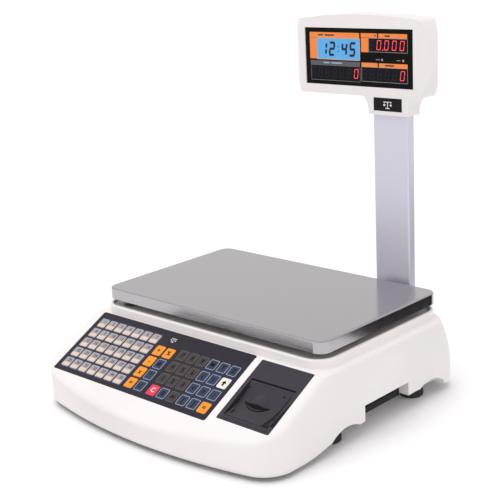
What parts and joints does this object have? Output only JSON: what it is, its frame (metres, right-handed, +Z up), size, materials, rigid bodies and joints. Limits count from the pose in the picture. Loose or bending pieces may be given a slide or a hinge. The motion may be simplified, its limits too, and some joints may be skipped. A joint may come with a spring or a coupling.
{
  "type": "retail price scale",
  "caption": "Counter scale with a lift-off steel pan, a sloping keypad deck with a receipt printer at its right, and a two-sided display head on a column",
  "frame": {"origin": "middle of the whole object's footprint, on the surface its feet stand on", "axes": "+X to the operator's right, +Y away from the operator towards the customer, +Z up"},
  "size_m": [0.4, 0.402, 0.4695],
  "materials": {
    "housing_plastic": "fine-textured off-white moulded plastic",
    "tray_plastic": "plain moulded plastic",
    "charcoal_plastic": "satin charcoal moulded plastic",
    "black_plastic": "plain black plastic",
    "overlay_film": "embossed polyester film, printed on its back",
    "window_film": "smoked clear panel",
    "pan_steel": "brushed stainless sheet",
    "frame_steel": "zinc-plated and lacquered pressed steel",
    "cell_aluminium": "machined",
    "cast_aluminium": "as-cast",
    "column_aluminium": "satin anodised extrusion",
    "screw_steel": "bright zinc plated",
    "shaft_steel": "ground steel",
    "blackened_steel": "blackened sheet steel",
    "rubber": "moulded black rubber",
    "platen_rubber": "ground rubber sleeve",
    "gear_plastic": "white acetal",
    "board_green": "lacquered circuit board with parts",
    "led_black": "seven-segment digit blocks",
    "lcd": "dot-matrix liquid crystal module",
    "vial": "clear acrylic with green fluid",
    "lens": "clear moulded lens",
    "paper": "thermal paper",
    "badge": "printed plate",
    "cable_grey": "vinyl jacket"
  },
  "bodies": {
    "base": {"upper_housing": "housing_plastic", "base_tray": "tray_plastic", "housing_screws": "screw_steel", "chassis_frame": "frame_steel", "load_cell": "cell_aluminium", "load_cell_bolts": "screw_steel", "level_vial": "vial", "level_lens": "lens", "foot_lock_nuts": "screw_steel", "port_plate": "black_plastic", "network_port": "black_plastic", "serial_port": "black_plastic", "drawer_port": "black_plastic", "power_inlet": "black_plastic", "switch_housing": "black_plastic", "main_board": "board_green", "power_supply": "board_green", "board_screws": "screw_steel", "keypad_overlay": "overlay_film", "keypad_board": "board_green", "printer_bezel": "charcoal_plastic", "printer_frame": "black_plastic", "feed_motor": "shaft_steel", "print_head": "cell_aluminium", "tear_bar": "blackened_steel", "column_tube": "column_aluminium", "column_bracket": "frame_steel", "column_screws": "screw_steel", "display_cable": "cable_grey", "head_front_shell": "housing_plastic", "head_rear_shell": "housing_plastic", "badge_plate": "badge", "operator_digits": "led_black", "customer_digits": "led_black", "lcd_module": "lcd", "head_screws": "screw_steel", "operator_window": "window_film", "customer_window": "window_film", "operator_board": "board_green", "customer_board": "board_green"},
    "weigh_platform": {"pan_support": "cast_aluminium", "support_bolts": "screw_steel", "pan_buffers": "rubber"},
    "pan": {"weighing_pan": "pan_steel"},
    "printer_door": {"paper_door": "charcoal_plastic"},
    "platen": {"platen_shaft": "shaft_steel", "platen_roller": "platen_rubber", "platen_gear": "gear_plastic"},
    "idler": {"idler_gear": "gear_plastic"},
    "motor_rotor": {"motor_pinion": "gear_plastic"},
    "roll": {"paper_roll": "paper"},
    "rocker": {"power_rocker": "black_plastic"},
    "foot_front_left": {"foot_pad_front_left": "rubber", "foot_stud_front_left": "screw_steel"},
    "foot_front_right": {"foot_pad_front_right": "rubber", "foot_stud_front_right": "screw_steel"},
    "foot_rear_left": {"foot_pad_rear_left": "rubber", "foot_stud_rear_left": "screw_steel"},
    "foot_rear_right": {"foot_pad_rear_right": "rubber", "foot_stud_rear_right": "screw_steel"}
  },
  "joints": [
    {"name": "weigh_travel", "type": "slide", "parent": "base", "child": "weigh_platform", "axis": [0, 0, -1], "range_m": [0, 0.0008], "stiffness_N_per_m": 360000, "deforming": ["load_cell"]},
    {"name": "pan_lift_off", "type": "slide", "parent": "weigh_platform", "child": "pan", "axis": [0, 0, 1], "range_m": [0, 0.08]},
    {"name": "foot_front_left_screw", "type": "slide", "parent": "base", "child": "foot_front_left", "axis": [0, 0, -1], "range_m": [-0.004, 0.004]},
    {"name": "foot_front_right_screw", "type": "slide", "parent": "base", "child": "foot_front_right", "axis": [0, 0, -1], "range_m": [-0.004, 0.004]},
    {"name": "foot_rear_left_screw", "type": "slide", "parent": "base", "child": "foot_rear_left", "axis": [0, 0, -1], "range_m": [-0.004, 0.004]},
    {"name": "foot_rear_right_screw", "type": "slide", "parent": "base", "child": "foot_rear_right", "axis": [0, 0, -1], "range_m": [-0.004, 0.004]},
    {"name": "door_hinge", "type": "hinge", "parent": "base", "child": "printer_door", "pos_m": [0.146, -0.11103, 0.07966], "axis": [-1, 0, 0], "range_deg": [0, 90]},
    {"name": "platen_spin", "type": "hinge", "parent": "printer_door", "child": "platen", "pos_m": [0.146, -0.14891, 0.0525], "axis": [1, 0, 0], "continuous": true},
    {"name": "idler_spin", "type": "hinge", "parent": "base", "child": "idler", "pos_m": [0.1147, -0.14482, 0.04236], "axis": [1, 0, 0], "continuous": true},
    {"name": "motor_spin", "type": "hinge", "parent": "base", "child": "motor_rotor", "pos_m": [0.1147, -0.14144, 0.03401], "axis": [1, 0, 0], "continuous": true},
    {"name": "roll_spin", "type": "hinge", "parent": "base", "child": "roll", "pos_m": [0.1472, -0.11937, 0.05019], "axis": [1, 0, 0], "continuous": true},
    {"name": "rocker_pivot", "type": "hinge", "parent": "base", "child": "rocker", "pos_m": [-0.0895, 0.1806, 0.0375], "axis": [-1, 0, 0], "range_deg": [0, 20]}
  ],
  "couplings": [
    {"joint": "idler_spin", "follows": "platen_spin", "ratio": -0.88889},
    {"joint": "motor_spin", "follows": "platen_spin", "ratio": 1.6},
    {"joint": "roll_spin", "follows": "platen_spin", "ratio": 0.25714}
  ]
}
